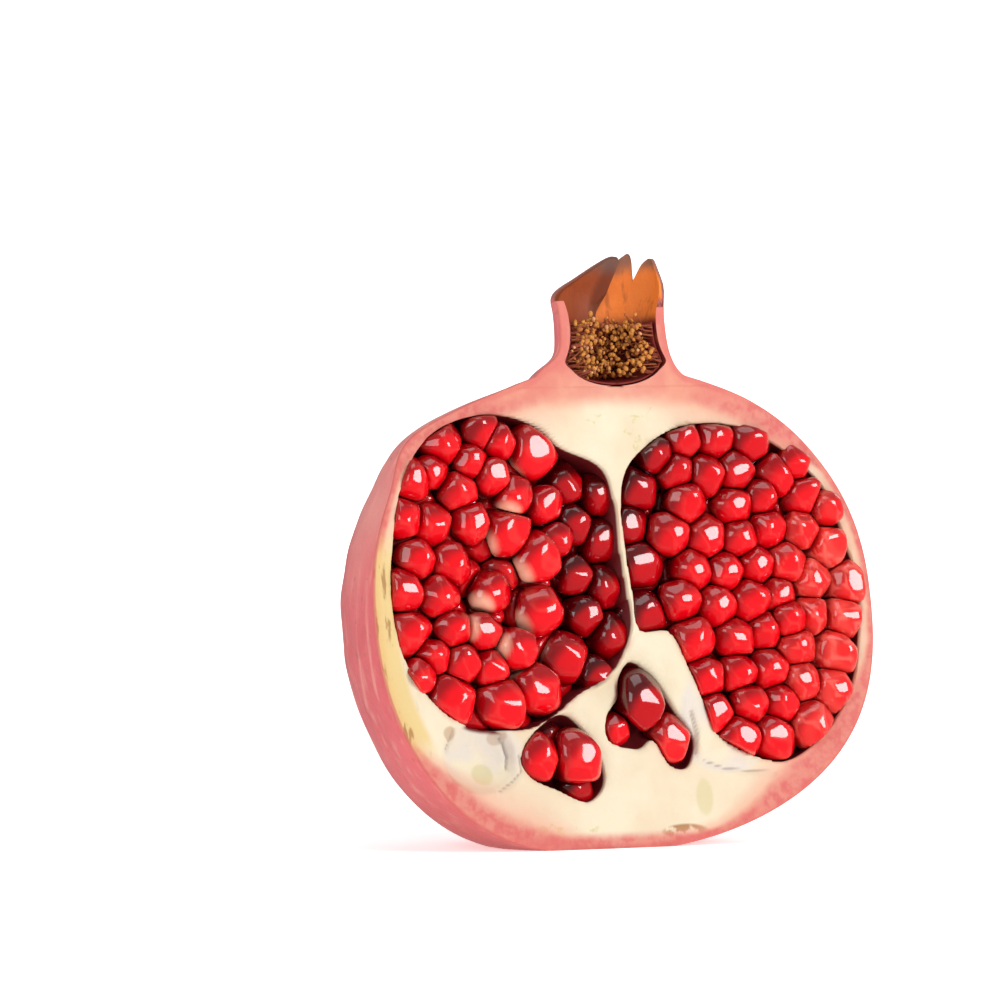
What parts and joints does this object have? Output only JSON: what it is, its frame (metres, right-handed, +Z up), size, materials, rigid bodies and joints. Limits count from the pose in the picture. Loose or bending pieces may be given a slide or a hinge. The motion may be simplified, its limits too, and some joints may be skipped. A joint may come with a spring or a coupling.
{
  "type": "pomegranate",
  "caption": "Pomegranate cut in half from crown to base, its pith chambers packed with arils, standing on its flattened base.",
  "frame": {"origin": "on the flat spot it rests on, straight below the middle of the fruit's weight", "axes": "+Z up; the cut face looks towards -Y and leans back 9 degrees; +X to the right seen from the cut face"},
  "size_m": [0.1014, 0.0564, 0.1035],
  "materials": {
    "rind": "pink-red skin with a soft sheen over cream pith",
    "aril": "wet, glossy and translucent deep red",
    "stamen": "dry and matte, golden brown"
  },
  "bodies": {
    "root": {"husk": "rind", "arils_left": "aril", "arils_right": "aril", "arils_lower_left": "aril", "arils_lower_middle": "aril", "stamens": "stamen"}
  },
  "joints": []
}
